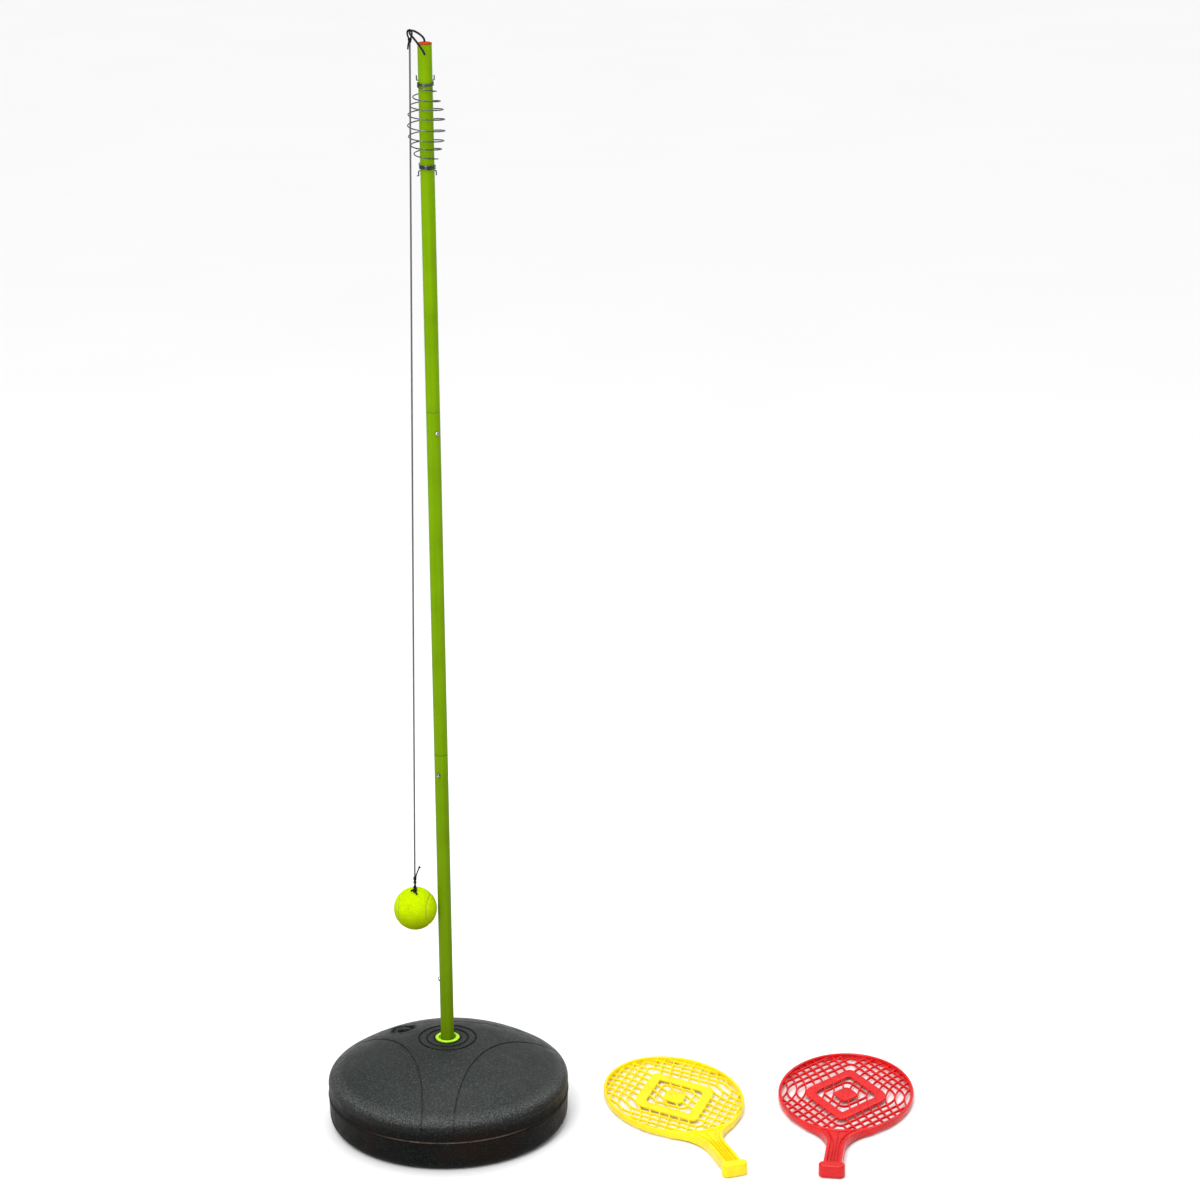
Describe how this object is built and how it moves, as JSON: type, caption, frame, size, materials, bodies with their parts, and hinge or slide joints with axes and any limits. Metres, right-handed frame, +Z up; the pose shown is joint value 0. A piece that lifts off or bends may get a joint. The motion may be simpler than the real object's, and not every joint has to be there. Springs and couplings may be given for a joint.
{
  "type": "tetherball set",
  "caption": "Free-standing tetherball set: round ballast base, jointed pole with spiral coil and swivel hook, felt ball on a cord, and lattice bats lying beside it.",
  "frame": {"origin": "centre of the base's underside, on the ground", "axes": "+Z up along the pole; the ball hangs towards -X and the bats lie towards +X"},
  "size_m": [0.8971, 0.4227, 1.6483],
  "materials": {
    "base_plastic": "fine grain",
    "lime_plastic": "moulded",
    "pole_green": "semi-gloss powder coat",
    "inner_steel": "plain",
    "button_steel": "bright",
    "coil_steel": "bright wire",
    "cap_red": "moulded",
    "hook_black": "satin",
    "cord_black": "braided",
    "knot_black": "braided",
    "felt": "napped felt",
    "rubber": "plain",
    "bat_yellow": "moulded",
    "bat_red": "moulded"
  },
  "bodies": {
    "base": {"base_top_shell": "base_plastic", "base_bottom_shell": "base_plastic", "pole_socket": "lime_plastic", "pole_lower": "pole_green", "pole_middle": "pole_green", "pole_upper": "pole_green", "socket_stub": "inner_steel", "ferrule_middle": "inner_steel", "ferrule_upper": "inner_steel", "snap_spring_low": "inner_steel", "snap_spring_middle": "inner_steel", "snap_spring_upper": "inner_steel", "spiral_coil": "coil_steel", "coil_pin_top": "coil_steel", "coil_pin_bottom": "coil_steel", "top_cap": "cap_red", "fill_gasket": "rubber"},
    "button_low": {"snap_button_low": "button_steel"},
    "button_middle": {"snap_button_middle": "button_steel"},
    "button_upper": {"snap_button_upper": "button_steel"},
    "swivel": {"swivel_hook": "hook_black", "hook_collar": "inner_steel"},
    "tether": {"tether_loop": "knot_black", "tether_cord": "cord_black", "ball_knot": "knot_black", "ball_anchor": "knot_black", "ball_core": "rubber", "ball_felt": "felt"},
    "filler_cap": {"fill_cap": "base_plastic"},
    "yellow_bat": {"bat_yellow": "bat_yellow"},
    "red_bat": {"bat_red": "bat_red"}
  },
  "joints": [
    {"name": "hook_swivel", "type": "hinge", "parent": "base", "child": "swivel", "pos_m": [0, 0, 1.625], "axis": [0, 0, 1], "continuous": true},
    {"name": "tether_swing", "type": "hinge", "parent": "swivel", "child": "tether", "pos_m": [-0.02, -0.0205, 1.644], "axis": [-0.1219, 0.9925, 0], "range_deg": [0, 85]},
    {"name": "button_low_press", "type": "slide", "parent": "base", "child": "button_low", "axis": [0.9903, 0.1392, 0], "range_m": [0, 0.0042], "stiffness_N_per_m": 600, "springref_m": -0.004},
    {"name": "button_middle_press", "type": "slide", "parent": "base", "child": "button_middle", "axis": [0.4384, 0.8988, 0], "range_m": [0, 0.0042], "stiffness_N_per_m": 600, "springref_m": -0.004},
    {"name": "button_upper_press", "type": "slide", "parent": "base", "child": "button_upper", "axis": [-0.4695, 0.8829, 0], "range_m": [0, 0.0042], "stiffness_N_per_m": 600, "springref_m": -0.004},
    {"name": "filler_cap_lift", "type": "slide", "parent": "base", "child": "filler_cap", "axis": [0, 0, 1], "range_m": [0, 0.04]},
    {"name": "yellow_bat_lift", "type": "slide", "parent": "base", "child": "yellow_bat", "axis": [0, 0, 1], "range_m": [0, 0.3]},
    {"name": "red_bat_lift", "type": "slide", "parent": "base", "child": "red_bat", "axis": [0, 0, 1], "range_m": [0, 0.3]}
  ]
}
